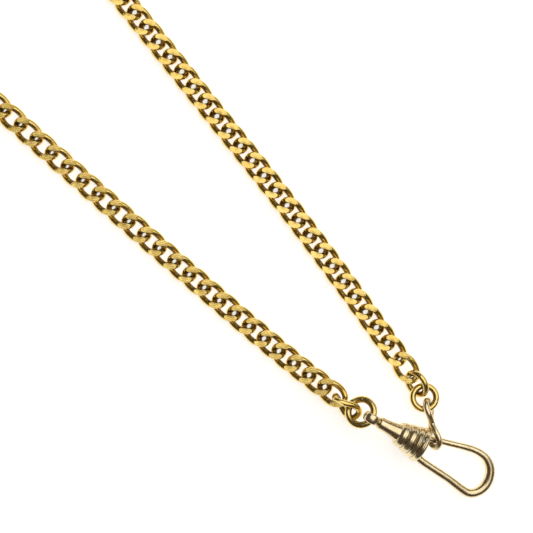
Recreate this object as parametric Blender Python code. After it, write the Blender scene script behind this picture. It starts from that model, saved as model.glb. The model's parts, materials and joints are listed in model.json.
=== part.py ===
"""Pocket watch chain: a filed curb chain whose two ends meet at a swivel clip.

The chain lies on a table. +X runs along the pair of strands towards the clip's nose, +Y to the
left of it and +Z up. The far side of the loop is a bend of the same chain. Every moving piece
has its origin on its hinge, with its local Y (the gate's Z, the swivel's X) along the hinge.
"""

import math

import bmesh
import bpy
import numpy as np
from mathutils import Matrix, Vector

MM = 0.001

# Curb link: an oval ring of round wire, twisted 90 degrees end to end and filed flat on both faces.
LINK_HALF_LENGTH = 3.05 * MM  # centreline
LINK_HALF_WIDTH = 1.92 * MM  # centreline, before the twist
LINK_WIRE = 0.68 * MM  # radius
LINK_FULLNESS = 2.5  # exponent of the oval: 2 is an ellipse
LINK_TWIST = math.radians(45)  # each way from the middle
LINK_FLAT = 1.13 * MM  # half the filed thickness
LINK_SEGMENTS = 14
RUN_SEGMENTS = 14
WIRE_SIDES = 6
BEAD_RADIUS = 0.72 * MM  # joins neighbouring links inside a rigid run

# Route of the chain's centreline in plan, from the swivel ring round to the figure-eight link.
ROUTE = [
    Vector((x * MM, y * MM))
    for x, y in (
        (-5.9, -1.4),
        (-21.2, -3.85),
        (-46.3, -6.6),
        (-72.3, -9.0),
        (-99.2, -11.3),
        (-118.0, -12.6),
        (-127.6, -5.4),
        (-131.2, 5.7),
        (-127.6, 16.8),
        (-118.0, 24.0),
        (-98.6, 22.8),
        (-70.6, 20.4),
        (-46.7, 18.3),
        (-23.0, 15.5),
        (-3.35, 12.75),
    )
]
ROUTE_STEPS = 24  # samples between two route points
FIRST_PITCH = 4.0 * MM  # next to the swivel ring
SLACK_PITCH = 4.48 * MM  # the most the left strand is drawn out
SLACK_LINKS = 22  # the pitch grows over this many links
# Height of the first links' centres above the rest of the chain, where the clip lifts them.
LEFT_LIFT = [z * MM for z in (2.55, 1.75, 1.1, 0.6, 0.25, 0.07)]
RIGHT_LIFT = [z * MM for z in (0.65, 0.25, 0.05)]
# The two links at the rings: centre, heading, and how far each is rolled about its heading
LEFT_FIRST = (Vector((-5.921, -1.873, 3.769)) * MM, Vector((0.9892, 0.0921, -0.1144)), math.radians(61.7))
RIGHT_FIRST = (Vector((-2.94, 12.69, 2.01)) * MM, Vector((0.966, -0.171, 0.193)), math.radians(4.6))

LEFT_SINGLES = 24
LEFT_RUNS = {"left_bend": 9}
RIGHT_SINGLES = 23
RIGHT_RUNS = {"right_run": 3, "right_bend": 9}

# Round rings
RING_SEGMENTS = 18
EYE_RING_RADIUS = 2.73 * MM  # centreline
EYE_RING_WIRE = 0.74 * MM
EYE_RING_DIP = math.radians(25.387)  # its chain side hangs lower
EYE_RING_TURN = math.radians(18.323)  # in plan, from straight back
EYE_RING_ROLL = math.radians(-8.277)
END_RING_RADIUS = 2.45 * MM
END_RING_WIRE = 0.69 * MM
END_RING_A_CENTRE = Vector((0.95, 12.02, 2.73)) * MM
END_RING_A_ROLL = math.radians(54.1)
END_RING_B_CENTRE = Vector((4.115, 11.22, 2.937)) * MM
END_RING_B_ROLL = math.radians(-1.2)

# Figure-eight link: a long oval pinched at its waist and twisted 90 degrees
EIGHT_HALF_LENGTH = 4.93 * MM
EIGHT_HALF_WAIST = 0.74 * MM
EIGHT_WIRE = 0.66 * MM
EIGHT_CENTRE = Vector((9.02, 8.565, 3.344)) * MM
EIGHT_DIRECTION = Vector((0.8219, -0.5584, 0.1121))
EIGHT_ROLL_AT_RING = math.radians(-64.3)
EIGHT_ROLL_AT_GATE = math.radians(-118.1)
EIGHT_SEGMENTS = 28

# Swivel clip, in its own frame: X along the barrel from its narrow end, Z up from the hook's plane
CLIP_PLACE = Vector((0.95, 0.87, 5.64)) * MM
CLIP_HEADING = math.radians(17.2)
CLIP_DIP = math.radians(9.65)  # the nose rests on the table
BARREL_LENGTH = 10.3 * MM
BARREL_STEPS = 22
CONE_PROFILE = [(0.0, 1.2), (0.25, 1.36), (1.8, 1.45), (3.4, 1.68), (4.5, 1.92)]
RIB_EDGES = [4.5, 6.2, 7.85, 9.05, 10.3]
RIB_ROOTS = [2.1, 2.55, 2.95, 3.3, 3.7]
RIB_HEIGHTS = [0.38, 0.38, 0.36, 0.32]
BORE_PROFILE = [(10.3, 3.46), (8.9, 2.82), (7.85, 2.4), (4.6, 1.45), (2.1, 1.12), (2.1, 0.74)]
STEM_RADIUS = 0.64
RIVET_HEAD = [(2.25, 1.0), (2.9, 1.0), (3.2, 0.7)]
EYE_CENTRE = -1.858 * MM
EYE_RADIUS = 1.39 * MM
EYE_WALL = 0.38 * MM
EYE_HALF_THICKNESS = 1.0 * MM
EYE_WIRE_OFFSET = 0.094 * MM  # how far the ring's wire sits towards the barrel in the eye

HOOK_POINTS = [  # x, y, wire radius
    (4.9, -0.35, 0.85),
    (7.0, -1.05, 0.85),
    (9.0, -1.85, 0.85),
    (10.6, -2.5, 0.85),
    (13.4, -2.95, 0.85),
    (18.9, -3.4, 0.86),
    (22.6, -3.95, 0.9),
    (24.7, -3.95, 0.95),
    (26.2, -2.75, 1.03),
    (26.95, -0.9, 1.1),
    (26.75, 1.2, 1.1),
    (25.75, 3.0, 1.02),
    (24.1, 4.15, 0.9),
    (22.3, 4.5, 0.82),
    (20.2, 4.36, 0.76),
    (18.0, 3.85, 0.74),
]
GATE_POINTS = [
    (9.1, 1.42, 0.7),
    (10.3, 1.84, 0.7),
    (13.4, 2.68, 0.7),
    (17.0, 3.6, 0.71),
    (19.0, 4.1, 0.73),
    (21.6, 4.52, 0.75),
]
TUBE_STEPS = 2  # samples between two of the points above
SEAM_POINT = Vector((20.25, 3.75, 0)) * MM  # the slanted joint of hook and gate
SEAM_NORMAL = Vector((0.62, 0.785, 0))
SEAM_GAP = 0.16 * MM
PIVOT = Vector((9.1, 1.42, 0)) * MM
GATE_EYE_RADIUS = 0.95 * MM
GATE_EYE_HALF_HEIGHT = 0.82 * MM
GATE_HOLE_RADIUS = 0.5 * MM
PIN_RADIUS = 0.42 * MM
PIN_HALF_LENGTH = 2.8 * MM
PIN_HOLE_RADIUS = 0.48 * MM
SPRING_RADIUS = 0.6 * MM
SPRING_WIRE = 0.09 * MM
SPRING_TURNS = 3
SPRING_BOTTOM = 0.98 * MM
SPRING_PITCH = 0.26 * MM

GOLD = (0.72, 0.50, 0.14, 1.0)
PALE_GOLD = (0.76, 0.62, 0.36, 1.0)
STEEL = (0.55, 0.55, 0.56, 1.0)


def clear_scene():
    for obj in list(bpy.data.objects):
        bpy.data.objects.remove(obj)


def metal(name, color, roughness):
    """A new Principled metal."""
    material = bpy.data.materials.new(name)
    material.use_nodes = True
    shader = material.node_tree.nodes["Principled BSDF"]
    shader.inputs["Base Color"].default_value = color
    shader.inputs["Metallic"].default_value = 1.0
    shader.inputs["Roughness"].default_value = roughness
    return material


def add_object(name, mesh, place, parent, material):
    """Links an object whose world matrix at rest is place."""
    mesh.shade_smooth()
    mesh.set_sharp_from_angle(angle=math.radians(40))
    obj = bpy.data.objects.new(name, mesh)
    bpy.context.collection.objects.link(obj)
    hang(obj, place, parent)
    if material and not mesh.materials:
        mesh.materials.append(material)
    return obj


def hang(obj, place, parent):
    """Parents obj so that its own location stays the one in the world."""
    obj.matrix_basis = place
    obj["rest"] = [value for row in place for value in row]
    if parent:
        obj.parent = parent
        obj.matrix_parent_inverse = rest_of(parent).inverted()


def rest_of(obj):
    values = list(obj["rest"])
    return Matrix([values[i : i + 4] for i in range(0, 16, 4)])


def helper(obj):
    """A cutter or a piece to join: never seen and never a node."""
    obj.hide_render = True
    obj.display_type = "WIRE"
    return obj


def boolean(obj, other, operation):
    modifier = obj.modifiers.new(operation.lower(), "BOOLEAN")
    modifier.operation = operation
    modifier.object = helper(other)
    modifier.solver = "EXACT"


def frame(origin, x_axis, y_axis):
    """The matrix whose columns are x_axis, y_axis squared up to it, their cross product, origin."""
    x = x_axis.normalized()
    z = x.cross(y_axis).normalized()
    y = z.cross(x)
    matrix = Matrix((x, y, z)).transposed().to_4x4()
    matrix.translation = origin
    return matrix


# Meshes -----------------------------------------------------------------------------------------


def mesh_of(name, vertices, faces):
    """A mesh with its faces turned outwards."""
    mesh = bpy.data.meshes.new(name)
    mesh.from_pydata([tuple(v) for v in vertices], [], faces)
    work = bmesh.new()
    work.from_mesh(mesh)
    bmesh.ops.recalc_face_normals(work, faces=work.faces[:])
    work.to_mesh(mesh)
    work.free()
    return mesh


def loop_faces(rows, columns, closed):
    """Quads of a grid of rows rings, each of columns points, with caps if it isn't closed."""
    faces = []
    for i in range(rows if closed else rows - 1):
        a, b = i * columns, (i + 1) % rows * columns
        for j in range(columns):
            k = (j + 1) % columns
            faces.append((a + j, b + j, b + k, a + k))
    if not closed:
        faces.append(tuple(range(columns)))
        faces.append(tuple(reversed(range((rows - 1) * columns, rows * columns))))
    return faces


def tube_points(centres, ups, across, along_up, sides, closed):
    """Rings of points round a centreline: across in its plane, along_up out of the plane."""
    count = len(centres)
    points = []
    for i, (centre, up) in enumerate(zip(centres, ups)):
        before = centres[i - 1] if closed or i else centre
        after = centres[(i + 1) % count] if closed or i < count - 1 else centre
        tangent = (after - before).normalized()
        side = up.cross(tangent).normalized()
        out = tangent.cross(side)
        for j in range(sides):
            angle = (j + 0.5) * math.tau / sides
            offset = side * math.cos(angle) * across[i] + out * math.sin(angle) * along_up[i]
            points.append(centre + offset)
    return points


def round_tube(name, centres, ups, radii, sides, closed):
    points = tube_points(centres, ups, radii, radii, sides, closed)
    return mesh_of(name, points, loop_faces(len(centres), sides, closed))


def revolve(name, profile, steps, closed):
    """Turns a profile of (x, radius) points, in mm, about X. An open one starts and ends on X."""
    points = []
    for x, radius in profile:
        for j in range(steps):
            angle = -math.tau * j / steps
            ring = Vector((x, radius * math.cos(angle), radius * math.sin(angle)))
            points.append(ring * MM)
    return mesh_of(name, points, loop_faces(len(profile), steps, closed))


def cylinder(name, radius, half_height, steps, centre):
    """A cylinder along Z."""
    rings = []
    for z in (-half_height, half_height):
        for j in range(steps):
            angle = math.tau * j / steps
            rings.append(centre + Vector((radius * math.cos(angle), radius * math.sin(angle), z)))
    return mesh_of(name, rings, loop_faces(2, steps, False))


def signed_power(value, power):
    return math.copysign(abs(value) ** power, value)


def link_mesh(segments):
    """One curb link, centred on its middle, X along the strand."""
    centres, ups = [], []
    for i in range(segments):
        angle = math.tau * i / segments
        x = LINK_HALF_LENGTH * signed_power(math.cos(angle), 2 / LINK_FULLNESS)
        width = LINK_HALF_WIDTH * signed_power(math.sin(angle), 2 / LINK_FULLNESS)
        twist = -LINK_TWIST * x / LINK_HALF_LENGTH
        centres.append(Vector((x, width * math.cos(twist), width * math.sin(twist))))
        ups.append(Vector((0, -math.sin(twist), math.cos(twist))))
    points = tube_points(
        centres, ups, [LINK_WIRE] * segments, [LINK_WIRE] * segments, WIRE_SIDES, True
    )
    for point in points:  # the filed faces
        point.z = max(-LINK_FLAT, min(LINK_FLAT, point.z))
    return points, loop_faces(segments, WIRE_SIDES, True)


def ring_mesh(name, radius, wire):
    """A round jump ring in its XY plane."""
    centres = [
        Vector((math.cos(a), math.sin(a), 0)) * radius
        for a in (math.tau * i / RING_SEGMENTS for i in range(RING_SEGMENTS))
    ]
    count = len(centres)
    return round_tube(name, centres, [Vector((0, 0, 1))] * count, [wire] * count, 8, True)


def eight_mesh(name):
    """The figure-eight link: a Cassini oval whose plane turns from one end to the other."""
    focus_2 = (EIGHT_HALF_LENGTH**2 - EIGHT_HALF_WAIST**2) / 2
    constant_2 = (EIGHT_HALF_LENGTH**2 + EIGHT_HALF_WAIST**2) / 2
    centres, ups = [], []
    for i in range(EIGHT_SEGMENTS):
        angle = math.tau * i / EIGHT_SEGMENTS
        x = EIGHT_HALF_LENGTH * math.cos(angle)
        inner = math.sqrt(constant_2**2 + 4 * focus_2 * x**2) - x**2 - focus_2
        width = math.copysign(math.sqrt(max(inner, 0)), math.sin(angle))
        share = (1 + x / EIGHT_HALF_LENGTH) / 2
        share = share * share * (3 - 2 * share)
        roll = EIGHT_ROLL_AT_RING + share * (EIGHT_ROLL_AT_GATE - EIGHT_ROLL_AT_RING)
        centres.append(Vector((x, width * math.cos(roll), width * math.sin(roll))))
        ups.append(Vector((0, -math.sin(roll), math.cos(roll))))
    return round_tube(name, centres, ups, [EIGHT_WIRE] * EIGHT_SEGMENTS, WIRE_SIDES, True)


def barrel_profile():
    """The barrel's closed outline in mm: cone, four ribs, then back along the bore."""
    outer = list(CONE_PROFILE)
    for i, height in enumerate(RIB_HEIGHTS):
        start, end = RIB_EDGES[i], RIB_EDGES[i + 1]
        for share in (0.15, 0.4, 0.66, 0.9):
            root = RIB_ROOTS[i] + share * (RIB_ROOTS[i + 1] - RIB_ROOTS[i])
            rise = height * math.sin(math.pi * share) ** 0.7
            outer.append((start + share * (end - start), root + rise))
        outer.append((end, RIB_ROOTS[i + 1]))
    return outer + BORE_PROFILE + [(0.0, 0.74)]


def smooth_points(points, steps):
    """Points of a Catmull-Rom curve through rows of numbers."""
    rows = np.array(points, float)
    padded = np.vstack([2 * rows[0] - rows[1], rows, 2 * rows[-1] - rows[-2]])
    out = []
    for i in range(len(rows) - 1):
        a, b, c, d = padded[i : i + 4]
        for t in (j / steps for j in range(steps)):
            cubic = 2 * b + (c - a) * t + (2 * a - 5 * b + 4 * c - d) * t * t
            out.append((cubic + (3 * b - a - 3 * c + d) * t**3) / 2)
    return np.array(out + [rows[-1]])


def wire_mesh(name, points, origin):
    """A bent wire in the XY plane, from rows of x, y and wire radius in mm."""
    rows = smooth_points(points, TUBE_STEPS) * MM
    centres = [Vector((x, y, 0)) - origin for x, y, _ in rows]
    ups = [Vector((0, 0, 1))] * len(centres)
    return round_tube(name, centres, ups, [r for _, _, r in rows], 8, False)


def trim(mesh, point, normal):
    """Cuts off what lies past the plane, and closes the cut."""
    work = bmesh.new()
    work.from_mesh(mesh)
    everything = work.verts[:] + work.edges[:] + work.faces[:]
    cut = bmesh.ops.bisect_plane(
        work, geom=everything, plane_co=point, plane_no=normal, clear_outer=True
    )
    edges = [item for item in cut["geom_cut"] if isinstance(item, bmesh.types.BMEdge)]
    bmesh.ops.edgeloop_fill(work, edges=edges)
    bmesh.ops.recalc_face_normals(work, faces=work.faces[:])
    work.to_mesh(mesh)
    work.free()


# The chain --------------------------------------------------------------------------------------


def route_points():
    """The chain's centreline in plan, closely sampled."""
    return smooth_points([tuple(p) for p in ROUTE], ROUTE_STEPS)


def link_pitches(count):
    """Distances between neighbouring links: drawn out along the left strand, even elsewhere."""
    pitches = []
    for i in range(count - 1):
        share = min(i, 2 * SLACK_LINKS - i) / SLACK_LINKS
        pitches.append(FIRST_PITCH + max(share, 0) * (SLACK_PITCH - FIRST_PITCH))
    return pitches


def link_centres(count):
    """The centre of each link from the swivel ring round to the figure-eight's rings."""
    line = route_points()
    steps = np.linalg.norm(np.diff(line, axis=0), axis=1)
    along = np.concatenate([[0], np.cumsum(steps)])
    wanted = np.concatenate([[0], np.cumsum(link_pitches(count))])
    wanted *= along[-1] / wanted[-1]
    x = np.interp(wanted, along, line[:, 0])
    y = np.interp(wanted, along, line[:, 1])
    lift = np.zeros(count)
    lift[: len(LEFT_LIFT)] = LEFT_LIFT
    lift[count - len(RIGHT_LIFT) :] = RIGHT_LIFT[::-1]
    return [Vector((x[i], y[i], LINK_FLAT + lift[i])) for i in range(count)]


def link_places(left_count, right_count):
    """Each strand's link matrices, nearest the clip first. A link's X points towards the clip."""
    centres = link_centres(left_count + right_count)
    places = []
    for i in range(1, len(centres) - 1):
        forward = centres[i - 1] - centres[i + 1]
        if i >= left_count:
            forward = -forward
        places.append(level_frame(centres[i], forward))
    places = [first_place(*LEFT_FIRST)] + places + [first_place(*RIGHT_FIRST)]
    return places[:left_count], places[left_count:][::-1]


def first_place(centre, forward, roll):
    return level_frame(centre, forward) @ Matrix.Rotation(roll, 4, "X")


def level_frame(origin, forward):
    return frame(origin, forward, Vector((0, 0, 1)).cross(forward))


def strand(side, links, ring_centre, singles, runs, parent, material):
    """Hangs one strand's links on parent, first to last, each turning about its first joint."""
    before = ring_centre
    used = 0
    groups = [(f"{side}_link_{i + 1:02d}", 1) for i in range(singles)] + list(runs.items())
    for name, size in groups:
        group = links[used : used + size]
        centres = [link.to_translation() for link in group]
        forward = group[0].to_3x3() @ Vector((1, 0, 0))
        place = level_frame((before + centres[0]) / 2, forward)
        parent = add_object(name, group_mesh(name, group, place), place, parent, material)
        if size > 1:
            join_beads(parent, centres, place)
        before = centres[-1]
        used += size


def group_mesh(name, group, place):
    """The links of one node, in the node's own frame."""
    vertices, faces = [], []
    segments = LINK_SEGMENTS if len(group) == 1 else RUN_SEGMENTS
    for link in group:
        points, quads = link_mesh(segments)
        faces += [tuple(k + len(vertices) for k in quad) for quad in quads]
        vertices += [place.inverted() @ link @ point for point in points]
    return mesh_of(name, vertices, faces)


def join_beads(obj, centres, place):
    """A bead at each crossing makes a run's links one solid."""
    work = bmesh.new()
    for a, b in zip(centres, centres[1:]):
        middle = Matrix.Translation(place.inverted() @ ((a + b) / 2))
        bmesh.ops.create_icosphere(work, subdivisions=1, radius=BEAD_RADIUS, matrix=middle)
    mesh = bpy.data.meshes.new(obj.name + "_beads")
    work.to_mesh(mesh)
    work.free()
    boolean(obj, add_object(obj.name + "_beads", mesh, place, obj, None), "UNION")
    obj.modifiers[-1].use_self = True


# The clip ---------------------------------------------------------------------------------------


def clip_place():
    turn = Matrix.Rotation(CLIP_HEADING, 4, "Z") @ Matrix.Rotation(CLIP_DIP, 4, "Y")
    return Matrix.Translation(CLIP_PLACE) @ turn


def make_barrel(place, root, material):
    mesh = revolve("clip_barrel", barrel_profile(), BARREL_STEPS, True)
    barrel = add_object("clip_barrel", mesh, place, root, material)
    hole = cylinder("pin_hole", PIN_HOLE_RADIUS, 2 * PIN_HALF_LENGTH, 12, PIVOT)
    boolean(barrel, add_object("pin_hole", hole, place, barrel, None), "DIFFERENCE")
    return barrel


def make_hook(place, barrel, material):
    mesh = wire_mesh("hook_wire", HOOK_POINTS, Vector())
    trim_hook_tip(mesh)
    return add_object("hook_wire", mesh, place, barrel, material)


def trim_hook_tip(mesh):
    """Keeps the bend and its tip down to the slanted seam. The plane also meets the far arm, so
    only the stretch past the nose is cut."""
    work = bmesh.new()
    work.from_mesh(mesh)
    near_tip = [v for v in work.verts if v.co.y > 0 and v.co.x > PIVOT.x]
    edges = [e for e in work.edges if e.verts[0] in near_tip and e.verts[1] in near_tip]
    faces = [f for f in work.faces if all(v in near_tip for v in f.verts)]
    cut = bmesh.ops.bisect_plane(
        work,
        geom=near_tip + edges + faces,
        plane_co=SEAM_POINT + SEAM_NORMAL * SEAM_GAP / 2,
        plane_no=-SEAM_NORMAL,
        clear_outer=True,
    )
    edges = [item for item in cut["geom_cut"] if isinstance(item, bmesh.types.BMEdge)]
    bmesh.ops.edgeloop_fill(work, edges=edges)
    bmesh.ops.recalc_face_normals(work, faces=work.faces[:])
    work.to_mesh(mesh)
    work.free()


def make_gate(place, barrel, material):
    """The sprung arm. It turns about the pin, so its origin is the pin's centre."""
    mesh = wire_mesh("gate_arm", GATE_POINTS, PIVOT)
    trim(mesh, SEAM_POINT - PIVOT - SEAM_NORMAL * SEAM_GAP / 2, SEAM_NORMAL)
    at = place @ Matrix.Translation(PIVOT)
    gate = add_object("gate_arm", mesh, at, barrel, material)
    eye = cylinder("gate_eye", GATE_EYE_RADIUS, GATE_EYE_HALF_HEIGHT, 16, Vector())
    boolean(gate, add_object("gate_eye", eye, at, gate, None), "UNION")
    hole = cylinder("gate_hole", GATE_HOLE_RADIUS, 2 * GATE_EYE_HALF_HEIGHT, 12, Vector())
    boolean(gate, add_object("gate_hole", hole, at, gate, None), "DIFFERENCE")
    return gate


def make_pin(place, barrel, material):
    mesh = cylinder("gate_pin", PIN_RADIUS, PIN_HALF_LENGTH, 12, Vector())
    return add_object("gate_pin", mesh, place @ Matrix.Translation(PIVOT), barrel, material)


def make_spring(place, barrel, material):
    """A torsion coil round the pin, above the gate's eye."""
    steps = 10
    centres = []
    for i in range(SPRING_TURNS * steps + 1):
        angle = math.tau * i / steps
        height = SPRING_BOTTOM + SPRING_PITCH * i / steps
        centres.append(
            Vector((SPRING_RADIUS * math.cos(angle), SPRING_RADIUS * math.sin(angle), height))
        )
    count = len(centres)
    mesh = round_tube(
        "gate_spring", centres, [Vector((0, 0, 1))] * count, [SPRING_WIRE] * count, 5, False
    )
    return add_object("gate_spring", mesh, place @ Matrix.Translation(PIVOT), barrel, material)


def make_swivel(place, barrel, material):
    """The flat eye with its stem, riveted over inside the barrel."""
    count = RING_SEGMENTS
    centres, ups = [], []
    for i in range(count):
        angle = math.tau * i / count
        centre = Vector((math.cos(angle), 0, math.sin(angle))) * EYE_RADIUS
        centres.append(centre + Vector((EYE_CENTRE, 0, 0)))
        ups.append(Vector((0, 1, 0)))
    points = tube_points(
        centres, ups, [EYE_WALL] * count, [EYE_HALF_THICKNESS] * count, 8, True
    )
    mesh = mesh_of("swivel_eye", points, loop_faces(count, 8, True))
    eye = add_object("swivel_eye", mesh, place, barrel, material)
    profile = [(-0.35, 0.0), (-0.35, 0.95), (-0.08, 0.95), (-0.08, STEM_RADIUS)]
    profile += [(RIVET_HEAD[0][0], STEM_RADIUS)] + RIVET_HEAD + [(RIVET_HEAD[-1][0], 0.0)]
    stem_mesh = revolve("swivel_stem", profile, 14, False)
    weld(stem_mesh)
    boolean(eye, add_object("swivel_stem", stem_mesh, place, eye, None), "UNION")
    return eye


def weld(mesh):
    """Makes the points on a turned shape's axis one, and its end caps with them."""
    work = bmesh.new()
    work.from_mesh(mesh)
    flat = [f for f in work.faces if f.calc_area() < 1e-12]
    bmesh.ops.delete(work, geom=flat, context="FACES_ONLY")
    bmesh.ops.remove_doubles(work, verts=work.verts[:], dist=1e-7)
    bmesh.ops.recalc_face_normals(work, faces=work.faces[:])
    work.to_mesh(mesh)
    work.free()


# Rings at the strands' ends ---------------------------------------------------------------------


def eye_ring_places(place):
    """(wire point in the swivel's eye, ring centre)."""
    wire = place @ Vector((EYE_CENTRE + EYE_WIRE_OFFSET, 0, 0))
    away = Vector((-math.cos(EYE_RING_DIP), 0, -math.sin(EYE_RING_DIP)))
    away = Matrix.Rotation(EYE_RING_TURN, 3, "Z") @ away
    return wire, wire + away * EYE_RING_RADIUS


def make_eye_ring(place, parent, material):
    wire, centre = eye_ring_places(place)
    hinge = place.to_3x3() @ Vector((0, 1, 0))
    at = frame(wire, hinge.cross(Vector((0, 0, 1))), hinge)
    up = (centre - wire).cross(hinge)
    flat = frame(centre, wire - centre, up.cross(wire - centre))
    flat = flat @ Matrix.Rotation(EYE_RING_ROLL, 4, "X")
    mesh = ring_mesh("eye_jump_ring", EYE_RING_RADIUS, EYE_RING_WIRE)
    mesh.transform(at.inverted() @ flat)
    return add_object("eye_jump_ring", mesh, at, parent, material)


def ring_object(name, centre, pivot, forward, roll, parent, material):
    """A jump ring that hinges at pivot, its plane rolled about the direction it is pulled in."""
    at = level_frame(pivot, forward)
    flat = level_frame(centre, forward) @ Matrix.Rotation(roll, 4, "X")
    mesh = ring_mesh(name, END_RING_RADIUS, END_RING_WIRE)
    mesh.transform(at.inverted() @ flat)
    return add_object(name, mesh, at, parent, material)


def make_eight(place, gate, material):
    """The figure-eight link hangs on the gate arm and turns about it."""
    start, end = (Vector(GATE_POINTS[i][:2]).to_3d() * MM for i in (0, 2))
    arm = (place.to_3x3() @ (end - start)).normalized()
    inside = EIGHT_CENTRE + EIGHT_DIRECTION * EIGHT_HALF_LENGTH * 0.59
    on_arm = place @ start + arm * (inside - place @ start).dot(arm)
    at = frame(on_arm, arm.cross(Vector((0, 0, 1))), arm)
    mesh = eight_mesh("figure_eight_link")
    mesh.transform(at.inverted() @ level_frame(EIGHT_CENTRE, EIGHT_DIRECTION))
    return add_object("figure_eight_link", mesh, at, gate, material)


# The whole --------------------------------------------------------------------------------------


def stand_on_origin(root):
    """Moves the whole so that its box stands centred on the origin."""
    bpy.context.view_layer.update()
    graph = bpy.context.evaluated_depsgraph_get()
    low, high = Vector((1, 1, 1)), Vector((-1, -1, -1))
    for obj in bpy.context.scene.objects:
        if obj.type != "MESH" or obj.hide_render:
            continue
        for vertex in obj.evaluated_get(graph).data.vertices:
            point = obj.matrix_world @ vertex.co
            low = Vector(map(min, low, point))
            high = Vector(map(max, high, point))
    middle = (low + high) / 2
    root.location = Vector((-middle.x, -middle.y, -low.z))
    bpy.context.view_layer.update()


def main():
    clear_scene()
    bpy.context.scene.unit_settings.system = "METRIC"
    gold = metal("chain_gold", GOLD, 0.22)
    pale = metal("clip_gold", PALE_GOLD, 0.25)
    steel = metal("spring_steel", STEEL, 0.35)

    root = bpy.data.objects.new("watch_chain", None)
    bpy.context.collection.objects.link(root)
    hang(root, Matrix.Identity(4), None)

    place = clip_place()
    barrel = make_barrel(place, root, pale)
    make_hook(place, barrel, pale)
    make_pin(place, barrel, steel)
    make_spring(place, barrel, steel)
    gate = make_gate(place, barrel, pale)
    swivel = make_swivel(place, barrel, pale)
    eye_ring = make_eye_ring(place, swivel, gold)

    left_count = LEFT_SINGLES + sum(LEFT_RUNS.values())
    right_count = RIGHT_SINGLES + sum(RIGHT_RUNS.values())
    left, right = link_places(left_count, right_count)
    _, ring_centre = eye_ring_places(place)
    strand("left", left, ring_centre, LEFT_SINGLES, LEFT_RUNS, eye_ring, gold)

    eight = make_eight(place, gate, pale)
    forward_b = (EIGHT_CENTRE - END_RING_B_CENTRE).normalized()
    eight_end = EIGHT_CENTRE - EIGHT_DIRECTION * EIGHT_HALF_LENGTH
    pivot_b = (eight_end + END_RING_B_CENTRE + forward_b * END_RING_RADIUS) / 2
    ring_b = ring_object(
        "end_ring_b", END_RING_B_CENTRE, pivot_b, forward_b, END_RING_B_ROLL, eight, gold
    )
    forward_a = (END_RING_B_CENTRE - END_RING_A_CENTRE).normalized()
    pivot_a = (END_RING_A_CENTRE + END_RING_B_CENTRE) / 2
    ring_a = ring_object(
        "end_ring_a", END_RING_A_CENTRE, pivot_a, forward_a, END_RING_A_ROLL, ring_b, gold
    )
    strand("right", right, END_RING_A_CENTRE, RIGHT_SINGLES, RIGHT_RUNS, ring_a, gold)
    stand_on_origin(root)


main()
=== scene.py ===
"""Looks of the pocket watch chain: fine meshes, gold materials, light and camera.

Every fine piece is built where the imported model's own piece is and rides on its body. The route,
the pitches and the clip's sizes are the CAD's. Lengths are in metres, in the CAD's frame.
"""

import json
import math

import bmesh
import bpy
import numpy as np
from mathutils import Matrix, Vector


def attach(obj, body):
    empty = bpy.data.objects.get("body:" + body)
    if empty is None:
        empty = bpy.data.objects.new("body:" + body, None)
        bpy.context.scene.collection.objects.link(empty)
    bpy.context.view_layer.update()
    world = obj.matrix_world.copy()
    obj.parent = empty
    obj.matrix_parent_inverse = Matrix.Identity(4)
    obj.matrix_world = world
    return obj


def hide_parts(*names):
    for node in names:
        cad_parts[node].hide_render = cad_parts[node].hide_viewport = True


MM = 0.001

# Curb link: an oval ring of round wire, twisted 90 degrees end to end and filed flat on both faces
LINK_HALF_LENGTH = 3.05 * MM
LINK_HALF_WIDTH = 1.92 * MM
LINK_WIRE = 0.66 * MM  # a little under the faceted CAD wire, which a full round would outgrow
LINK_FULLNESS = 2.5
LINK_TWIST = math.radians(45)
LINK_FLAT = 1.13 * MM
LINK_SEGMENTS = 72
LINK_SIDES = 24
LINK_SHARP = 24  # degrees: the filed faces keep crisp edges

ROUTE = [
    Vector((x * MM, y * MM))
    for x, y in (
        (-5.9, -1.4),
        (-21.2, -3.85),
        (-46.3, -6.6),
        (-72.3, -9.0),
        (-99.2, -11.3),
        (-118.0, -12.6),
        (-127.6, -5.4),
        (-131.2, 5.7),
        (-127.6, 16.8),
        (-118.0, 24.0),
        (-98.6, 22.8),
        (-70.6, 20.4),
        (-46.7, 18.3),
        (-23.0, 15.5),
        (-3.35, 12.75),
    )
]
ROUTE_STEPS = 24
FIRST_PITCH = 4.0 * MM
SLACK_PITCH = 4.48 * MM
SLACK_LINKS = 22
LEFT_LIFT = [z * MM for z in (2.55, 1.75, 1.1, 0.6, 0.25, 0.07)]
RIGHT_LIFT = [z * MM for z in (0.65, 0.25, 0.05)]
LEFT_FIRST = (Vector((-5.921, -1.873, 3.769)) * MM, Vector((0.9892, 0.0921, -0.1144)), math.radians(61.7))
RIGHT_FIRST = (Vector((-2.94, 12.69, 2.01)) * MM, Vector((0.966, -0.171, 0.193)), math.radians(4.6))
LEFT_SINGLES = 24
LEFT_RUNS = {"left_bend": 9}
RIGHT_SINGLES = 23
RIGHT_RUNS = {"right_run": 3, "right_bend": 9}

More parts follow.
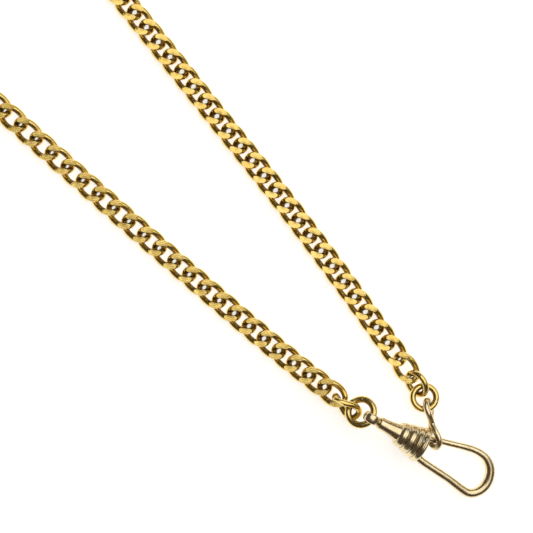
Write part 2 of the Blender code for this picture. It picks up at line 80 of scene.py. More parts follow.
# Jump rings
RING_SEGMENTS = 96
RING_SIDES = 24
RING_SEAM = math.radians(0.5)  # the butt joint's opening
RING_END_SHARE = 0.965  # the wire is a little thinner where it was cut
EYE_RING_RADIUS = 2.73 * MM
EYE_RING_WIRE = 0.72 * MM
EYE_RING_DIP = math.radians(25.387)
EYE_RING_TURN = math.radians(18.323)
EYE_RING_ROLL = math.radians(-8.277)
EYE_RING_SEAM_AT = math.radians(250)
END_RING_RADIUS = 2.45 * MM
END_RING_WIRE = 0.67 * MM
END_RING_SEAMS_AT = (math.radians(120), math.radians(60))
END_RING_A_CENTRE = Vector((0.95, 12.02, 2.73)) * MM
END_RING_A_ROLL = math.radians(54.1)
END_RING_B_CENTRE = Vector((4.115, 11.22, 2.937)) * MM
END_RING_B_ROLL = math.radians(-1.2)

# Figure-eight link
EIGHT_HALF_LENGTH = 4.93 * MM
EIGHT_HALF_WAIST = 0.74 * MM
EIGHT_WIRE = 0.66 * MM
EIGHT_CENTRE = Vector((9.02, 8.565, 3.344)) * MM
EIGHT_DIRECTION = Vector((0.8219, -0.5585, 0.1121))
EIGHT_ROLL_AT_RING = math.radians(-64.3)
EIGHT_ROLL_AT_GATE = math.radians(-118.1)
EIGHT_SEGMENTS = 120

# Swivel clip, in its own frame
CLIP_PLACE = Vector((0.95, 0.87, 5.64)) * MM
CLIP_HEADING = math.radians(17.2)
CLIP_DIP = math.radians(9.65)
BARREL_STEPS = 96
BARREL_SHARP = 35  # degrees
CONE_STEPS = 5
CONE_PROFILE = [(0.0, 1.2), (0.25, 1.36), (1.8, 1.45), (3.4, 1.68), (4.5, 1.92)]
RIB_EDGES = [4.5, 6.2, 7.85, 9.05, 10.3]
RIB_ROOTS = [2.1, 2.55, 2.95, 3.3, 3.7]
RIB_HEIGHTS = [0.38, 0.38, 0.36, 0.32]
RIB_STEPS = 24
RIB_ROUNDNESS = 0.7  # below 1, a rib rises faster than a sine wave
RIB_GROOVE = 0.07  # mm: a fine turned line along each rib crest
RIB_GROOVE_WIDTH = 0.07  # of the rib's own width
BORE_PROFILE = [(10.3, 3.46), (8.9, 2.82), (7.85, 2.4), (4.6, 1.45), (2.1, 1.12), (2.1, 0.74)]
EDGE_ROUND = 0.12  # mm: how far the turned edges are rounded
STEM_RADIUS = 0.64
STEM_STEPS = 40
COLLAR_RADIUS = 0.95
COLLAR_START = (-0.35, 0.5)  # mm: where it leaves the eye, and its radius there
COLLAR_END = -0.08
RIVET_HEAD = [(2.25, 1.0), (2.9, 1.0), (3.2, 0.7)]
EYE_SEGMENTS = 72
EYE_SIDES = 24
EYE_CENTRE = -1.858 * MM
EYE_RADIUS = 1.39 * MM
EYE_WALL = 0.38 * MM
EYE_HALF_THICKNESS = 1.0 * MM
EYE_WIRE_OFFSET = 0.094 * MM

HOOK_POINTS = [
    (4.9, -0.35, 0.85),
    (7.0, -1.05, 0.85),
    (9.0, -1.85, 0.85),
    (10.6, -2.5, 0.85),
    (13.4, -2.95, 0.85),
    (18.9, -3.4, 0.86),
    (22.6, -3.95, 0.9),
    (24.7, -3.95, 0.95),
    (26.2, -2.75, 1.03),
    (26.95, -0.9, 1.1),
    (26.75, 1.2, 1.1),
    (25.75, 3.0, 1.02),
    (24.1, 4.15, 0.9),
    (22.3, 4.5, 0.82),
    (20.2, 4.36, 0.76),
    (18.0, 3.85, 0.74),
]
GATE_POINTS = [
    (9.1, 1.42, 0.7),
    (10.3, 1.84, 0.7),
    (13.4, 2.68, 0.7),
    (17.0, 3.6, 0.71),
    (19.0, 4.1, 0.73),
    (21.6, 4.52, 0.75),
]
TUBE_STEPS = 8
TUBE_SIDES = 28
SEAM_POINT = Vector((20.25, 3.75, 0)) * MM
SEAM_NORMAL = Vector((0.62, 0.785, 0))
SEAM_GAP = 0.06 * MM
PIVOT = Vector((9.1, 1.42, 0)) * MM
GATE_EYE_RADIUS = 0.95 * MM
GATE_EYE_HALF_HEIGHT = 0.82 * MM
GATE_HOLE_RADIUS = 0.5 * MM
GATE_EYE_STEPS = 48
GATE_EYE_EDGE = 0.08 * MM
PIN_RADIUS = 0.42 * MM
PIN_HALF_LENGTH = 2.8 * MM
PIN_STEPS = 24
PIN_END_STEPS = 6
PIN_HOLE_RADIUS = 0.48 * MM
PIN_HOLE_STEPS = 32
SPRING_RADIUS = 0.6 * MM
SPRING_WIRE = 0.09 * MM
SPRING_TURNS = 3
SPRING_STEPS = 36  # to a turn
SPRING_SIDES = 10
SPRING_BOTTOM = 0.98 * MM
SPRING_PITCH = 0.26 * MM

# The photograph's view: straight down, the strands running to the lower right
CAMERA_POINT = Vector((-38.34, 6.13)) * MM  # on the table, in the route's frame
CAMERA_HEIGHT = 0.24
CAMERA_TURN = math.radians(46.5)
VIEW_WIDTH = 0.1119  # across the picture, at the height of the chain
CHAIN_HEIGHT = 1.2 * MM
SENSOR = 36.0  # mm

FLOOR_SIZE = 4.0
FLOOR_DROP = 0.02 * MM
FLOOR_GLOW = 0.68  # keeps the shadows faint
SKY = (0.075, 0.06, 0.045, 1.0)
KEY_TOWARDS = (0.0, 0.46, 0.89)
KEY_DISTANCE = 0.6
KEY_SIDE = 0.8
KEY_POWER = 2.5
KEY_COLOR = (1.0, 0.97, 0.92)

# Surface detail of the gold: noise scales are per metre, depths in metres
DRIFT_SCALE = 420.0
# Scale of the noise that breaks up the edge of the painted shade
SHADE_NOISE_SCALE = 900.0
WEAR_SCALE = 1500.0
WEAR = 0.14  # added to the roughness
CREVICE_ROUGHNESS = 0.12
DENT_SCALE = 500.0
DENT_DEPTH = 0.03 * MM
GRAIN_SCALE = 5200.0
GRAIN_DEPTH = 0.004 * MM
FILE_SCALE = 760.0
FILE_DEPTH = 0.004 * MM
FILE_ANGLE = math.radians(38)
RANDOM_SHIFT = 0.37  # metres: no two pieces show the same patch of noise
MIX_A, MIX_B, MIX_RESULT = 6, 7, 2  # the Mix node's colour sockets

# The shade attribute carries painted shade: where it is low, the base colour darkens to a dark brown.
SHADE = "shade"  # how much of the sky a vertex sees: 0 deep in a crevice, 1 outside


# Frames and curves ------------------------------------------------------------------------------


def frame_of(origin, x_axis, y_axis):
    """The matrix whose columns are x_axis, y_axis squared up to it, their cross product, origin."""
    x = x_axis.normalized()
    z = x.cross(y_axis).normalized()
    y = z.cross(x)
    matrix = Matrix((x, y, z)).transposed().to_4x4()
    matrix.translation = origin
    return matrix


def level_frame(origin, forward):
    return frame_of(origin, forward, Vector((0, 0, 1)).cross(forward))


def smooth_points(points, steps):
    """Points of a Catmull-Rom curve through rows of numbers."""
    rows = np.array(points, float)
    padded = np.vstack([2 * rows[0] - rows[1], rows, 2 * rows[-1] - rows[-2]])
    out = []
    for i in range(len(rows) - 1):
        a, b, c, d = padded[i : i + 4]
        for t in (j / steps for j in range(steps)):
            cubic = 2 * b + (c - a) * t + (2 * a - 5 * b + 4 * c - d) * t * t
            out.append((cubic + (3 * b - a - 3 * c + d) * t**3) / 2)
    return np.array(out + [rows[-1]])


def signed_power(value, power):
    return math.copysign(abs(value) ** power, value)


# Meshes -----------------------------------------------------------------------------------------


class Shape:
    """A bmesh in the making, with a shade for each vertex."""

    def __init__(self):
        self.mesh = bmesh.new()
        self.shade = self.mesh.verts.layers.float.new(SHADE)

    def grid(self, rows, closed, shades=None):
        """Joins rows of points, each a closed loop, into a tube, capped if it isn't closed."""
        count = len(rows[0])
        verts = []
        for i, row in enumerate(rows):
            line = [self.mesh.verts.new(point) for point in row]
            for j, vert in enumerate(line):
                vert[self.shade] = shades[i][j] if shades else 1.0
            verts.append(line)
        for i in range(len(rows) if closed else len(rows) - 1):
            a, b = verts[i], verts[(i + 1) % len(rows)]
            for j in range(count):
                k = (j + 1) % count
                self.mesh.faces.new((a[j], b[j], b[k], a[k]))
        if not closed:
            self.mesh.faces.new(verts[0])
            self.mesh.faces.new(verts[-1][::-1])

    def cut(self, point, normal, part=None):
        """Cuts off what lies past a plane, of part or else of everything, and closes the cut flat."""
        work = self.mesh
        part = part or work.verts[:] + work.edges[:] + work.faces[:]
        made = bmesh.ops.bisect_plane(work, geom=part, plane_co=point, plane_no=normal, clear_outer=True)
        edges = [item for item in made["geom_cut"] if isinstance(item, bmesh.types.BMEdge)]
        bmesh.ops.edgeloop_fill(work, edges=edges)

    def finish(self, name, sharp=32):
        bmesh.ops.recalc_face_normals(self.mesh, faces=self.mesh.faces[:])
        mesh = bpy.data.meshes.new(name)
        self.mesh.to_mesh(mesh)
        self.mesh.free()
        mesh.shade_smooth()
        mesh.set_sharp_from_angle(angle=math.radians(sharp))
        return mesh


def tube_rows(centres, ups, across, along_up, sides, closed):
    """Rings of points round a centreline: across in its plane, along_up out of the plane."""
    count = len(centres)
    rows = []
    for i, (centre, up) in enumerate(zip(centres, ups)):
        before = centres[i - 1] if closed or i else centre
        after = centres[(i + 1) % count] if closed or i < count - 1 else centre
        tangent = (after - before).normalized()
        side = up.cross(tangent).normalized()
        out = tangent.cross(side)
        row = []
        for j in range(sides):
            angle = (j + 0.5) * math.tau / sides
            offset = side * math.cos(angle) * across[i] + out * math.sin(angle) * along_up[i]
            row.append(centre + offset)
        rows.append(row)
    return rows


def inner_shade(rows, centres, middle, depth):
    """Painted shade: darker on the side of a closed wire that faces the middle of its loop."""
    shades = []
    for row, centre in zip(rows, centres):
        inward = (middle - centre).normalized()
        shades.append([1 - depth * max(0, (p - centre).normalized().dot(inward)) for p in row])
    return shades


def link_mesh():
    """One curb link, centred on its middle, X along the strand."""
    centres, ups = [], []
    for i in range(LINK_SEGMENTS):
        angle = math.tau * i / LINK_SEGMENTS
        x = LINK_HALF_LENGTH * signed_power(math.cos(angle), 2 / LINK_FULLNESS)
        width = LINK_HALF_WIDTH * signed_power(math.sin(angle), 2 / LINK_FULLNESS)
        twist = -LINK_TWIST * x / LINK_HALF_LENGTH
        centres.append(Vector((x, width * math.cos(twist), width * math.sin(twist))))
        ups.append(Vector((0, -math.sin(twist), math.cos(twist))))
    wires = [LINK_WIRE] * LINK_SEGMENTS
    rows = tube_rows(centres, ups, wires, wires, LINK_SIDES, True)
    shape = Shape()
    shape.grid(rows, True, inner_shade(rows, centres, Vector(), 1.0))
    for sign in (1, -1):
        shape.cut(Vector((0, 0, sign * LINK_FLAT)), Vector((0, 0, sign)))
    return shape.finish("curb_link", LINK_SHARP)


def ring_mesh(name, radius, wire, seam_at):
    """A round jump ring in its XY plane, cut through at seam_at where its ends meet."""
    centres = []
    for i in range(RING_SEGMENTS + 1):
        angle = seam_at + RING_SEAM / 2 + (math.tau - RING_SEAM) * i / RING_SEGMENTS
        centres.append(Vector((math.cos(angle), math.sin(angle), 0)) * radius)
    count = len(centres)
    wires = [wire * (RING_END_SHARE if i in (0, count - 1) else 1) for i in range(count)]
    rows = tube_rows(centres, [Vector((0, 0, 1))] * count, wires, wires, RING_SIDES, False)
    shape = Shape()
    shape.grid(rows, False, inner_shade(rows, centres, Vector(), 0.8))
    return shape.finish(name)


def eight_mesh(name):
    """The figure-eight link: a Cassini oval whose plane turns from one end to the other."""
    focus_2 = (EIGHT_HALF_LENGTH**2 - EIGHT_HALF_WAIST**2) / 2
    constant_2 = (EIGHT_HALF_LENGTH**2 + EIGHT_HALF_WAIST**2) / 2
    centres, ups = [], []
    for i in range(EIGHT_SEGMENTS):
        angle = math.tau * i / EIGHT_SEGMENTS
        x = EIGHT_HALF_LENGTH * math.cos(angle)
        inner = math.sqrt(constant_2**2 + 4 * focus_2 * x**2) - x**2 - focus_2
        width = math.copysign(math.sqrt(max(inner, 0)), math.sin(angle))
        share = (1 + x / EIGHT_HALF_LENGTH) / 2
        share = share * share * (3 - 2 * share)
        roll = EIGHT_ROLL_AT_RING + share * (EIGHT_ROLL_AT_GATE - EIGHT_ROLL_AT_RING)
        centres.append(Vector((x, width * math.cos(roll), width * math.sin(roll))))
        ups.append(Vector((0, -math.sin(roll), math.cos(roll))))
    wires = [EIGHT_WIRE] * EIGHT_SEGMENTS
    rows = tube_rows(centres, ups, wires, wires, LINK_SIDES, True)
    shape = Shape()
    shape.grid(rows, True, inner_shade(rows, centres, Vector(), 0.7))
    return shape.finish(name)


def turned_rows(profile, steps):
    """A profile of (x, radius) points, in mm, turned about X."""
    rows = []
    for x, radius in profile:
        angles = (-math.tau * j / steps for j in range(steps))
        rows.append([Vector((x, radius * math.cos(a), radius * math.sin(a))) * MM for a in angles])
    return rows


def rounded(profile):
    """Each corner of an open profile replaced by two points just short of it."""
    out = [profile[0]]
    for before, here, after in zip(profile, profile[1:], profile[2:]):
        for other in (before, after):
            gap = math.dist(here, other)
            share = min(EDGE_ROUND / gap, 0.3) if gap else 0
            out.append(tuple(h + share * (o - h) for h, o in zip(here, other)))
    return out + [profile[-1]]


def barrel_profile():
    """(outline in mm, shade at each point): cone, four ribs, then back along the bore."""
    cone = smooth_points(CONE_PROFILE, CONE_STEPS)
    outer = [(float(x), float(r)) for x, r in cone]
    shades = [1.0] * len(outer)
    for i, height in enumerate(RIB_HEIGHTS):
        start, end = RIB_EDGES[i], RIB_EDGES[i + 1]
        for step in range(1, RIB_STEPS):
            share = step / RIB_STEPS
            root = RIB_ROOTS[i] + share * (RIB_ROOTS[i + 1] - RIB_ROOTS[i])
            line = math.exp(-(((share - 0.5) / RIB_GROOVE_WIDTH) ** 2))
            rise = height * math.sin(math.pi * share) ** RIB_ROUNDNESS - RIB_GROOVE * line
            outer.append((start + share * (end - start), root + rise))
            # Painted shade: light on each rib's crest, dark at the roots between ribs and along the
            # turned line.
            shades.append(min(1, 0.25 + 1.6 * math.sin(math.pi * share)) - 0.35 * line)
        outer.append((end, RIB_ROOTS[i + 1]))
        shades.append(0.15 if i < len(RIB_HEIGHTS) - 1 else 0.9)
    # Painted shade: dark down the bore.
    bore = BORE_PROFILE + [(0.0, BORE_PROFILE[-1][1])]
    return outer + bore, shades + [0.5] + [0.1] * (len(bore) - 1)


def barrel_mesh():
    profile, shades = barrel_profile()
    shape = Shape()
    rows = turned_rows(profile, BARREL_STEPS)
    shape.grid(rows, True, [[s] * BARREL_STEPS for s in shades])
    return shape.finish("clip_barrel_fine", BARREL_SHARP)


def wire_shape(points, origin):
    """A bent wire in the XY plane, from rows of x, y and wire radius in mm."""
    rows = smooth_points(points, TUBE_STEPS) * MM
    centres = [Vector((x, y, 0)) - origin for x, y, _ in rows]
    wires = [r for _, _, r in rows]
    ups = [Vector((0, 0, 1))] * len(centres)
    shape = Shape()
    shape.grid(tube_rows(centres, ups, wires, wires, TUBE_SIDES, False), False)
    return shape


def hook_mesh():
    """The fixed arm and the nose, down to the slanted seam where the gate shuts against it."""
    shape = wire_shape(HOOK_POINTS, Vector())
    work = shape.mesh
    near_tip = {v for v in work.verts if v.co.y > 0 and v.co.x > PIVOT.x}
    part = list(near_tip)
    part += [e for e in work.edges if all(v in near_tip for v in e.verts)]
    part += [f for f in work.faces if all(v in near_tip for v in f.verts)]
    shape.cut(SEAM_POINT + SEAM_NORMAL * SEAM_GAP / 2, -SEAM_NORMAL, part)
    return shape.finish("hook_wire_fine")


def gate_mesh():
    """The sprung arm, about its pivot."""
    shape = wire_shape(GATE_POINTS, PIVOT)
    shape.cut(SEAM_POINT - PIVOT - SEAM_NORMAL * SEAM_GAP / 2, SEAM_NORMAL)
    return shape.finish("gate_arm_fine")


def circle(radius, z, steps):
    angles = (math.tau * j / steps for j in range(steps))
    return [Vector((radius * math.cos(a), radius * math.sin(a), z)) for a in angles]


def gate_eye_mesh():
    """The eye round the pivot pin: a ring of rectangular section along Z, its edges broken."""
    inner, outer = GATE_HOLE_RADIUS, GATE_EYE_RADIUS
    half_height, edge = GATE_EYE_HALF_HEIGHT, GATE_EYE_EDGE
    section = [
        (inner, -half_height + edge),
        (inner + edge, -half_height),
        (outer - edge, -half_height),
        (outer, -half_height + edge),
        (outer, half_height - edge),
        (outer - edge, half_height),
        (inner + edge, half_height),
        (inner, half_height - edge),
    ]
    rows = []
    for j in range(GATE_EYE_STEPS):
        angle = math.tau * j / GATE_EYE_STEPS
        rows.append([Vector((r * math.cos(angle), r * math.sin(angle), z)) for r, z in section])
    shape = Shape()
    shape.grid(rows, True)
    return shape.finish("gate_eye_fine")


def pin_mesh():
    """The pivot pin, with flat ends."""
    shares = [math.sin(math.pi / 2 * i / PIN_END_STEPS) for i in range(1, PIN_END_STEPS)]
    rows = [circle(PIN_RADIUS * share, -PIN_HALF_LENGTH, PIN_STEPS) for share in shares]
    rows += [circle(PIN_RADIUS * share, PIN_HALF_LENGTH, PIN_STEPS) for share in reversed(shares)]
    shape = Shape()
    shape.grid(rows, False)
    return shape.finish("gate_pin_fine")


def spring_mesh():
    centres = []
    for i in range(SPRING_TURNS * SPRING_STEPS + 1):
        turns = i / SPRING_STEPS
        across = Vector((math.cos(math.tau * turns), math.sin(math.tau * turns), 0)) * SPRING_RADIUS
        centres.append(across + Vector((0, 0, SPRING_BOTTOM + SPRING_PITCH * turns)))
    count = len(centres)
    wires = [SPRING_WIRE] * count
    shape = Shape()
    ups = [Vector((0, 0, 1))] * count
    shape.grid(tube_rows(centres, ups, wires, wires, SPRING_SIDES, False), False)
    return shape.finish("gate_spring_fine")


def swivel_mesh():
    """The thick flat eye, then a collar and the riveted stem inside the barrel."""
    count = EYE_SEGMENTS
    middle = Vector((EYE_CENTRE, 0, 0))
    centres = []
    for i in range(count):
        angle = math.tau * i / count
        centres.append(Vector((math.cos(angle), 0, math.sin(angle))) * EYE_RADIUS + middle)
    ups = [Vector((0, 1, 0))] * count
    rows = tube_rows(centres, ups, [EYE_WALL] * count, [EYE_HALF_THICKNESS] * count, EYE_SIDES, True)
    shape = Shape()
    shape.grid(rows, True, inner_shade(rows, centres, middle, 0.9))
    stem = [COLLAR_START, (COLLAR_START[0], COLLAR_RADIUS), (COLLAR_END, COLLAR_RADIUS)]
    stem += [(COLLAR_END, STEM_RADIUS), (RIVET_HEAD[0][0], STEM_RADIUS)] + RIVET_HEAD
    shape.grid(turned_rows(rounded(stem), STEM_STEPS), False)
    return shape.finish("swivel_eye_fine")


# Materials --------------------------------------------------------------------------------------


class Nodes:
    """Short spellings for a material's node tree."""

    def __init__(self, name):
        self.material = bpy.data.materials.new(name)
        self.material.use_nodes = True
        self.tree = self.material.node_tree
        self.shader = self.tree.nodes["Principled BSDF"]

    def add(self, kind, settings=None, **inputs):
        node = self.tree.nodes.new("ShaderNode" + kind)
        for key, value in (settings or {}).items():
            setattr(node, key, value)
        for key, value in inputs.items():
            self.feed(node.inputs[key.replace("_", " ")], value)
        return node

    def feed(self, socket, value):
        if isinstance(value, bpy.types.NodeSocket):
            self.tree.links.new(value, socket)
        else:
            socket.default_value = value

    def math(self, operation, *values):
        node = self.add("Math", {"operation": operation})
        for socket, value in zip(node.inputs, values):
            self.feed(socket, value)
        return node.outputs[0]

    def mix(self, share, first, second):
        node = self.add("Mix", {"data_type": "RGBA"})
        self.feed(node.inputs["Factor"], share)
        self.feed(node.inputs[MIX_A], first)
        self.feed(node.inputs[MIX_B], second)
        return node.outputs[MIX_RESULT]

    def noise(self, vector, scale, detail=3.0, roughness=0.55):
        node = self.add("TexNoise", Vector=vector, Scale=scale, Detail=detail, Roughness=roughness)
        return node.outputs["Fac"]

    def span(self, value, low, high, to_low, to_high):
        node = self.add("MapRange")
        for socket, number in zip(node.inputs, (value, low, high, to_low, to_high)):
            self.feed(socket, number)
        return node.outputs[0]


def gold(name, bright, deep, painted_shade, roughness, filed=False):
    """Polished gold plate: colour drift, painted shade in the crevices, small dents and a fine grain."""
    nodes = Nodes(name)
    coordinates = nodes.add("TexCoord").outputs
    random = nodes.add("ObjectInfo").outputs["Random"]
    shift = nodes.add("CombineXYZ", X=nodes.math("MULTIPLY", random, RANDOM_SHIFT))
    place = nodes.add("VectorMath", {"operation": "ADD"})
    nodes.feed(place.inputs[0], coordinates["Object"])
    nodes.feed(place.inputs[1], shift.outputs[0])
    place = place.outputs[0]

    drift = nodes.span(nodes.noise(place, DRIFT_SCALE), 0.3, 0.7, 0.0, 1.0)
    # Painted shade: where the shade attribute is low, in crevices and on the insides of loops, the base
    # colour falls to the painted shade colour, its edge broken by a noise.
    shade = nodes.add("Attribute", {"attribute_name": SHADE}).outputs["Fac"]
    shade_noise = nodes.span(nodes.noise(place, SHADE_NOISE_SCALE, 4.0), 0.25, 0.75, -0.15, 0.15)
    seen = nodes.span(nodes.math("ADD", shade, shade_noise), 0.05, 0.75, 0.0, 1.0)
    color = nodes.mix(drift, (*deep, 1.0), (*bright, 1.0))
    nodes.feed(nodes.shader.inputs["Base Color"], nodes.mix(seen, (*painted_shade, 1.0), color))
    nodes.shader.inputs["Metallic"].default_value = 1.0

    worn = nodes.span(nodes.noise(place, WEAR_SCALE, 4.0), 0.3, 0.7, roughness, roughness + WEAR)
    crevice = nodes.span(seen, 0, 1, CREVICE_ROUGHNESS, 0)
    nodes.feed(nodes.shader.inputs["Roughness"], nodes.math("ADD", worn, crevice))

    dents = nodes.math("MULTIPLY", nodes.noise(place, DENT_SCALE, 2.0, 0.4), DENT_DEPTH)
    fine = nodes.math("MULTIPLY", nodes.noise(place, GRAIN_SCALE, 2.0, 0.5), GRAIN_DEPTH)
    height = nodes.math("ADD", dents, fine)
    if filed:
        height = nodes.math("ADD", height, file_lines(nodes, coordinates, place))
    bump = nodes.add("Bump", Strength=1.0, Distance=1.0, Height=height)
    nodes.feed(nodes.shader.inputs["Normal"], bump.outputs[0])
    return nodes.material


def file_lines(nodes, coordinates, place):
    """Fine parallel lines on the filed faces, whose own normal is along Z."""
    turned = nodes.add("Mapping", Vector=place, Rotation=(0, 0, FILE_ANGLE))
    wave = nodes.add("TexWave", Vector=turned.outputs[0], Scale=FILE_SCALE, Distortion=2.5, Detail=3.0)
    wave.inputs["Detail Scale"].default_value = 1.5
    upright = nodes.add("SeparateXYZ", Vector=coordinates["Normal"]).outputs["Z"]
    face = nodes.span(nodes.math("ABSOLUTE", upright), 0.985, 0.998, 0.0, 1.0)
    lines = nodes.math("MULTIPLY", wave.outputs["Fac"], FILE_DEPTH)
    return nodes.math("MULTIPLY", lines, face)


def steel(name):
    """Drawn spring steel."""
    nodes = Nodes(name)
    place = nodes.add("TexCoord").outputs["Object"]
    drift = nodes.span(nodes.noise(place, 2200.0), 0.3, 0.7, 0.0, 1.0)
    tones = nodes.mix(drift, (0.36, 0.33, 0.28, 1.0), (0.60, 0.56, 0.48, 1.0))
    nodes.feed(nodes.shader.inputs["Base Color"], tones)
    nodes.shader.inputs["Metallic"].default_value = 1.0
    nodes.feed(nodes.shader.inputs["Roughness"], nodes.span(drift, 0, 1, 0.28, 0.45))
    return nodes.material


def floor_material():
    """Matt white board, a little luminous so that shadows on it stay faint."""
    nodes = Nodes("white_board")
    place = nodes.add("TexCoord").outputs["Object"]
    grain = nodes.span(nodes.noise(place, 300.0), 0.3, 0.7, 0.0, 1.0)
    tones = nodes.mix(grain, (0.93, 0.93, 0.93, 1.0), (0.96, 0.96, 0.96, 1.0))
    nodes.feed(nodes.shader.inputs["Base Color"], tones)
    nodes.shader.inputs["Roughness"].default_value = 0.9
    nodes.shader.inputs["Emission Color"].default_value = (1.0, 1.0, 1.0, 1.0)
    nodes.shader.inputs["Emission Strength"].default_value = FLOOR_GLOW
    return nodes.material


# Places -----------------------------------------------------------------------------------------


def link_centres(count):
    """The centre of each link from the swivel ring round to the figure-eight's rings."""
    line = smooth_points([tuple(p) for p in ROUTE], ROUTE_STEPS)
    steps = np.linalg.norm(np.diff(line, axis=0), axis=1)
    along = np.concatenate([[0], np.cumsum(steps)])
    pitches = []
    for i in range(count - 1):
        share = max(min(i, 2 * SLACK_LINKS - i) / SLACK_LINKS, 0)
        pitches.append(FIRST_PITCH + share * (SLACK_PITCH - FIRST_PITCH))
    wanted = np.concatenate([[0], np.cumsum(pitches)])
    wanted *= along[-1] / wanted[-1]
    x = np.interp(wanted, along, line[:, 0])
    y = np.interp(wanted, along, line[:, 1])
    lift = np.zeros(count)
    lift[: len(LEFT_LIFT)] = LEFT_LIFT
    lift[count - len(RIGHT_LIFT) :] = RIGHT_LIFT[::-1]
    return [Vector((x[i], y[i], LINK_FLAT + lift[i])) for i in range(count)]


def link_places():
    """Each strand's link matrices, nearest the clip first. A link's X points towards the clip."""
    left_count = LEFT_SINGLES + sum(LEFT_RUNS.values())
    right_count = RIGHT_SINGLES + sum(RIGHT_RUNS.values())
    centres = link_centres(left_count + right_count)
    places = []
    for i in range(1, len(centres) - 1):
        forward = centres[i - 1] - centres[i + 1]
        if i >= left_count:
            forward = -forward
        places.append(level_frame(centres[i], forward))
    places = [first_place(*LEFT_FIRST)] + places + [first_place(*RIGHT_FIRST)]
    return places[:left_count], places[left_count:][::-1]


def first_place(centre, forward, roll):
    return level_frame(centre, forward) @ Matrix.Rotation(roll, 4, "X")


def clip_place():
    turn = Matrix.Rotation(CLIP_HEADING, 4, "Z") @ Matrix.Rotation(CLIP_DIP, 4, "Y")
    return Matrix.Translation(CLIP_PLACE) @ turn


def eye_ring_place(place):
    wire = place @ Vector((EYE_CENTRE + EYE_WIRE_OFFSET, 0, 0))
    away = Vector((-math.cos(EYE_RING_DIP), 0, -math.sin(EYE_RING_DIP)))
    away = Matrix.Rotation(EYE_RING_TURN, 3, "Z") @ away
    hinge = place.to_3x3() @ Vector((0, 1, 0))
    up = away.cross(hinge)
    flat = frame_of(wire + away * EYE_RING_RADIUS, -away, up.cross(-away))
    return flat @ Matrix.Rotation(EYE_RING_ROLL, 4, "X")


# Assembly ---------------------------------------------------------------------------------------


def route_to_frame(record):
    """The shift from the route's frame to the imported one, from the swivel's joint."""
    joints = record["behaviour"]["joints"]
    swivel = next(joint for joint in joints if joint["name"] == "swivel_turn")
    return Matrix.Translation(Vector(swivel["pos_m"]) - CLIP_PLACE)


def piece(name, mesh, place, body, material, node=None):
    """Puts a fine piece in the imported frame, on its body, in place of its CAD node."""
    if not mesh.materials:
        mesh.materials.append(material)
    obj = bpy.data.objects.new(name, mesh)
    bpy.context.collection.objects.link(obj)
    obj.matrix_world = SHIFT @ place
    bpy.context.view_layer.update()
    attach(obj, body)
    if node:
        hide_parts(node)
    return obj


def add_strand(side, links, singles, runs, mesh, material):
    used = 0
    groups = [(f"{side}_link_{i + 1:02d}", 1) for i in range(singles)] + list(runs.items())
    for node, size in groups:
        for i, place in enumerate(links[used : used + size]):
            name = f"{node}_fine" if size == 1 else f"{node}_link_{i + 1}"
            piece(name, mesh, place, node, material, None if i else node)
        used += size


def add_clip(place, pale, spring_steel):
    barrel = piece("clip_barrel_fine", barrel_mesh(), place, "clip", pale, "clip_barrel")
    drill(barrel, place)
    piece("hook_wire_fine", hook_mesh(), place, "clip", pale, "hook_wire")
    at = place @ Matrix.Translation(PIVOT)
    piece("gate_pin_fine", pin_mesh(), at, "clip", spring_steel, "gate_pin")
    piece("gate_spring_fine", spring_mesh(), at, "clip", spring_steel, "gate_spring")
    piece("gate_arm_fine", gate_mesh(), at, "gate", pale, "gate_arm")
    piece("gate_eye_fine", gate_eye_mesh(), at, "gate", pale)
    piece("swivel_eye_fine", swivel_mesh(), place, "swivel", pale, "swivel_eye")


def drill(barrel, place):
    """The pin's hole through the barrel's wall."""
    rows = []
    for z in (-2 * PIN_HALF_LENGTH, 2 * PIN_HALF_LENGTH):
        rows.append([p + PIVOT for p in circle(PIN_HOLE_RADIUS, z, PIN_HOLE_STEPS)])
    shape = Shape()
    shape.grid(rows, False)
    cutter = bpy.data.objects.new("pin_drill", shape.finish("pin_drill"))
    bpy.context.collection.objects.link(cutter)
    cutter.matrix_world = SHIFT @ place
    bpy.context.view_layer.update()
    modifier = barrel.modifiers.new("drill", "BOOLEAN")
    modifier.operation = "DIFFERENCE"
    modifier.solver = "EXACT"
    modifier.object = cutter
    graph = bpy.context.evaluated_depsgraph_get()
    drilled = bpy.data.meshes.new_from_object(barrel.evaluated_get(graph))
    barrel.modifiers.remove(modifier)
    barrel.data = drilled
    bpy.data.objects.remove(cutter)


def add_rings(place, chain, pale):
    mesh = ring_mesh("eye_jump_ring_fine", EYE_RING_RADIUS, EYE_RING_WIRE, EYE_RING_SEAM_AT)
    at = eye_ring_place(place)
    piece("eye_jump_ring_fine", mesh, at, "eye_ring", chain, "eye_jump_ring")

    centres = (END_RING_A_CENTRE, END_RING_B_CENTRE, EIGHT_CENTRE)
    rolls = (END_RING_A_ROLL, END_RING_B_ROLL)
    for i, letter in enumerate("ab"):
        name = f"end_ring_{letter}_fine"
        mesh = ring_mesh(name, END_RING_RADIUS, END_RING_WIRE, END_RING_SEAMS_AT[i])
        at = level_frame(centres[i], centres[i + 1] - centres[i])
        at = at @ Matrix.Rotation(rolls[i], 4, "X")
        body = f"end_ring_{letter}"
        piece(name, mesh, at, body, chain, body)

    mesh = eight_mesh("figure_eight_fine")
    at = level_frame(EIGHT_CENTRE, EIGHT_DIRECTION)
    node = "figure_eight_link"
    piece("figure_eight_fine", mesh, at, "figure_eight", pale, node)


# Studio -----------------------------------------------------------------------------------------


def add_floor():
    bpy.ops.mesh.primitive_plane_add(size=FLOOR_SIZE, location=(0, 0, -FLOOR_DROP))
    floor = bpy.context.object
    floor.name = "floor"
    floor.data.materials.append(floor_material())


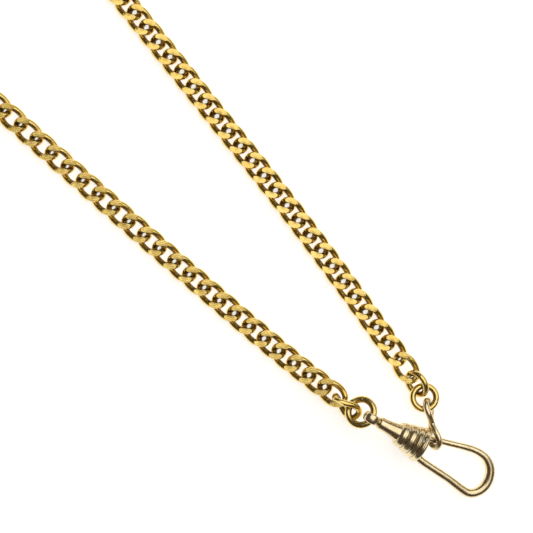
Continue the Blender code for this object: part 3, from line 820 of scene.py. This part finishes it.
def add_key_light():
    """A softbox that faces the middle of the picture."""
    data = bpy.data.lights.new("key", "AREA")
    data.shape = "RECTANGLE"
    data.size, data.size_y = KEY_SIDE, KEY_SIDE
    data.energy = KEY_POWER
    data.color = KEY_COLOR
    light = bpy.data.objects.new("key", data)
    bpy.context.collection.objects.link(light)
    direction = Vector(KEY_TOWARDS).normalized()
    light.location = SHIFT @ CAMERA_POINT.to_3d() + direction * KEY_DISTANCE
    light.rotation_euler = direction.to_track_quat("Z", "Y").to_euler()


def add_world():
    world = bpy.data.worlds.new("studio")
    world.use_nodes = True
    background = world.node_tree.nodes["Background"]
    background.inputs["Color"].default_value = SKY
    background.inputs["Strength"].default_value = 1.0
    bpy.context.scene.world = world


def add_camera():
    data = bpy.data.cameras.new("camera")
    data.sensor_width = SENSOR
    data.lens = SENSOR * (CAMERA_HEIGHT - CHAIN_HEIGHT) / VIEW_WIDTH
    data.clip_start = 0.01
    camera = bpy.data.objects.new("camera", data)
    bpy.context.collection.objects.link(camera)
    above = SHIFT @ CAMERA_POINT.to_3d()
    camera.location = (above.x, above.y, CAMERA_HEIGHT)
    camera.rotation_euler = (0, 0, CAMERA_TURN)
    bpy.context.scene.camera = camera


with open("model.json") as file:
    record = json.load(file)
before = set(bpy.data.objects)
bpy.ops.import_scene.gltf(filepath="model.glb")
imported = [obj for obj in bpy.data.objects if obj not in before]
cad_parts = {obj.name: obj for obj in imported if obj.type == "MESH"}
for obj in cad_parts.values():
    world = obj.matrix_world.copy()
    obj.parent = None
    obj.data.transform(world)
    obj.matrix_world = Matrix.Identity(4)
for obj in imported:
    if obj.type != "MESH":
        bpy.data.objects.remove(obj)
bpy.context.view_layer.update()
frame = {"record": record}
SHIFT = route_to_frame(frame["record"])

# The third colour of each gold is its painted shade, the dark brown of crevices and the insides of loops.
chain_gold = gold("chain_gold", (0.92, 0.70, 0.24), (0.80, 0.56, 0.14), (0.12, 0.07, 0.015), 0.15, True)
ring_gold = gold("ring_gold", (0.92, 0.72, 0.28), (0.80, 0.58, 0.18), (0.16, 0.09, 0.025), 0.14)
clip_gold = gold("clip_gold", (0.90, 0.77, 0.50), (0.78, 0.63, 0.37), (0.20, 0.14, 0.07), 0.17)
spring_steel = steel("spring_steel")

left_links, right_links = link_places()
curb_link = link_mesh()
add_strand("left", left_links, LEFT_SINGLES, LEFT_RUNS, curb_link, chain_gold)
add_strand("right", right_links, RIGHT_SINGLES, RIGHT_RUNS, curb_link, chain_gold)
CLIP = clip_place()
add_clip(CLIP, clip_gold, spring_steel)
add_rings(CLIP, ring_gold, clip_gold)

add_floor()
add_world()
add_key_light()
add_camera()
bpy.context.scene.view_settings.view_transform = "Standard"
